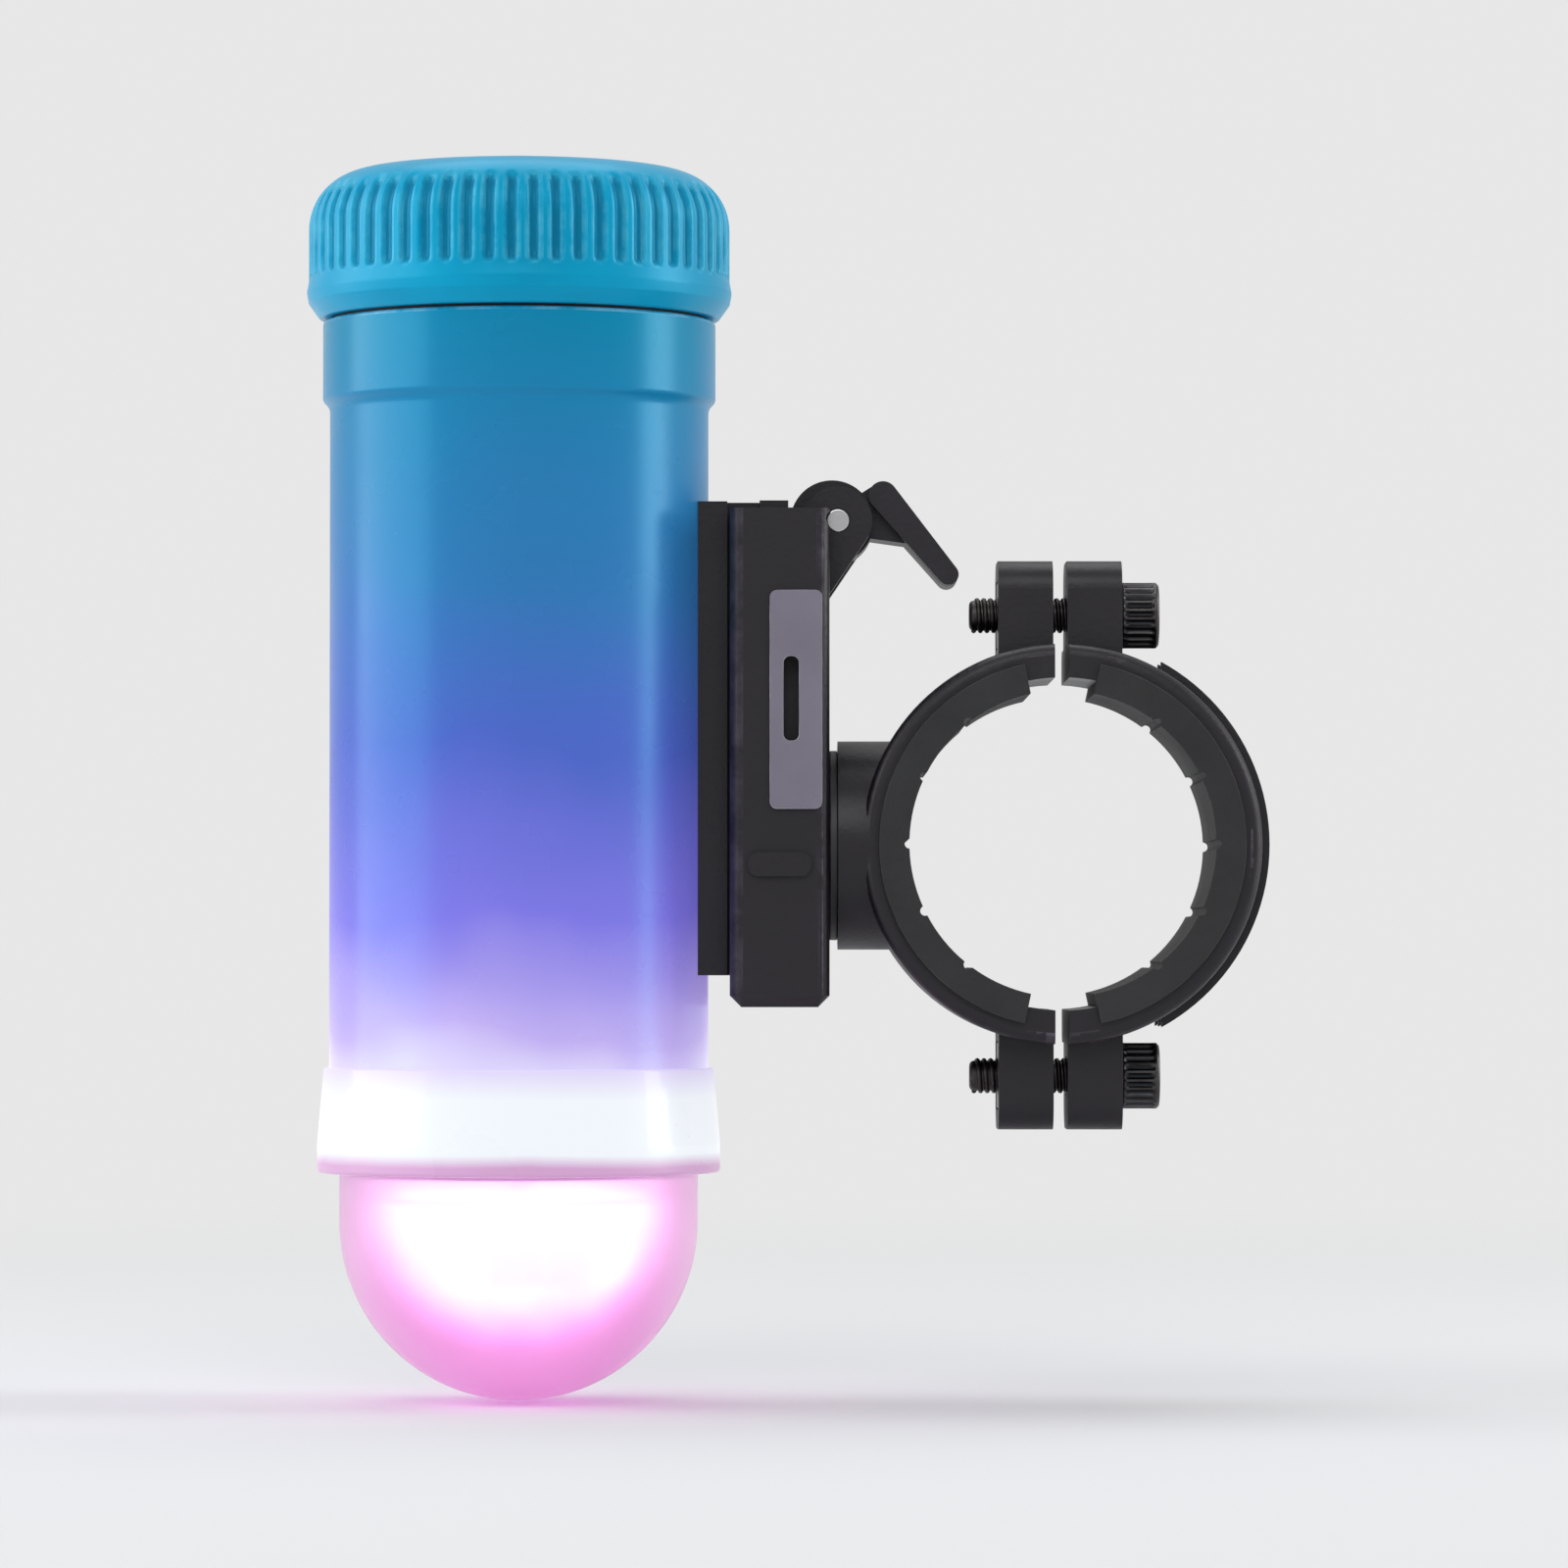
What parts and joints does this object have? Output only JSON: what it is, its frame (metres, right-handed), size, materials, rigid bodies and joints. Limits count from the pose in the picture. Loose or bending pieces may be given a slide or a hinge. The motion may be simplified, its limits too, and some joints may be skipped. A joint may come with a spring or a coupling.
{
  "type": "bicycle front light",
  "caption": "Tubular battery light with a domed lens and a spinning pattern lens inside, held lens down in a slide-out bracket on a handlebar clamp.",
  "frame": {"origin": "centre of the handlebar clamp's bore", "axes": "+Y along the handlebar, +Z along the light's tube away from its lens, -X from the handlebar to the light"},
  "size_m": [0.1013, 0.045, 0.1311],
  "materials": {
    "tube": "translucent teal plastic, satin, lit from inside",
    "cap": "moulded teal plastic, semi-gloss",
    "key": "soft moulded teal key",
    "bezel": "translucent pale plastic",
    "clear": "clear plastic",
    "rubber": "soft black rubber",
    "moulded": "glass-filled black plastic, fine grain",
    "plate": "grey plastic, satin",
    "steel": "stainless steel",
    "black_steel": "blackened steel",
    "contact": "plated brass",
    "spring": "bright spring wire",
    "board": "green solder mask",
    "led_board": "white solder mask on aluminium",
    "led": "white lamp body, clear top",
    "white": "white diffusing plastic",
    "inner_black": "black plastic",
    "cell": "film-wrapped cell, bare ends",
    "motor": "zinc-plated can"
  },
  "bodies": {
    "clamp": {"clamp_base": "moulded", "pad_front": "rubber", "clamp_nuts": "steel", "swivel_nut": "steel", "swivel_screw": "steel", "swivel_washer": "inner_black"},
    "clamp_rear": {"clamp_cap": "moulded", "pad_rear": "rubber"},
    "screw_upper": {"clamp_screw_upper": "black_steel"},
    "screw_lower": {"clamp_screw_lower": "black_steel"},
    "bracket": {"bracket_shoe": "moulded", "side_plate_left": "plate", "side_plate_right": "plate", "lever_pin": "steel"},
    "lever": {"cam_lever": "moulded"},
    "light": {"body_tube": "tube", "bezel_ring": "bezel", "lens_seal": "rubber", "dome_lens": "clear", "tube_rail": "moulded", "rail_screws": "steel", "motor_can": "motor", "motor_endbell": "inner_black", "motor_terminals": "contact", "chassis": "white", "led_board": "led_board", "leds": "led", "led_screws": "steel", "reflector_ring": "white", "driver_board": "board", "board_spring": "spring", "battery_sleeve": "white", "contact_strip": "contact", "carrier_frame": "inner_black", "battery_cell_1": "cell", "battery_cell_2": "cell", "battery_cell_3": "cell", "carrier_contacts": "contact", "carrier_springs": "spring"},
    "seal": {"cap_seal": "rubber"},
    "cap": {"end_cap": "cap", "switch_housing": "inner_black", "switch_board": "board", "switch_screws": "steel", "cap_contact_ring": "contact", "cap_spring": "spring"},
    "button": {"button_key": "key", "switch_plunger": "inner_black"},
    "rotor": {"motor_shaft": "steel", "pattern_lens": "clear"}
  },
  "joints": [
    {"name": "clamp_open", "type": "slide", "parent": "clamp", "child": "clamp_rear", "axis": [1, 0, 0], "range_m": [0, 0.0049]},
    {"name": "screw_upper_turn", "type": "hinge", "parent": "clamp_rear", "child": "screw_upper", "pos_m": [0, 0, 0.0243], "axis": [1, 0, 0], "range_deg": [0, 2520]},
    {"name": "screw_lower_turn", "type": "hinge", "parent": "clamp_rear", "child": "screw_lower", "pos_m": [0, 0, -0.0243], "axis": [1, 0, 0], "range_deg": [0, 2520]},
    {"name": "bracket_swivel", "type": "hinge", "parent": "clamp", "child": "bracket", "pos_m": [0, 0, 0], "axis": [1, 0, 0], "range_deg": [-20, 20]},
    {"name": "lever_turn", "type": "hinge", "parent": "bracket", "child": "lever", "pos_m": [-0.02335, 0, 0.034], "axis": [0, -1, 0], "range_deg": [0, 90]},
    {"name": "light_slide", "type": "slide", "parent": "bracket", "child": "light", "axis": [0, 0, 1], "range_m": [0, 0.05]},
    {"name": "cap_lift", "type": "slide", "parent": "light", "child": "seal", "axis": [0, 0, 1], "range_m": [0, 0.012]},
    {"name": "cap_turn", "type": "hinge", "parent": "seal", "child": "cap", "pos_m": [-0.05699, 0, 0], "axis": [0, 0, 1], "range_deg": [0, 1440]},
    {"name": "button_press", "type": "slide", "parent": "cap", "child": "button", "axis": [0, 0, -1], "range_m": [0, 0.0008], "stiffness_N_per_m": 2500},
    {"name": "rotor_spin", "type": "hinge", "parent": "light", "child": "rotor", "pos_m": [-0.05699, 0, 0], "axis": [0, 0, 1], "continuous": true}
  ],
  "couplings": [
    {"joint": "cap_turn", "follows": "cap_lift", "rad_per_m": 2094.4},
    {"joint": "screw_upper_turn", "follows": "clamp_open", "rad_per_m": 8976},
    {"joint": "screw_lower_turn", "follows": "clamp_open", "rad_per_m": 8976}
  ]
}
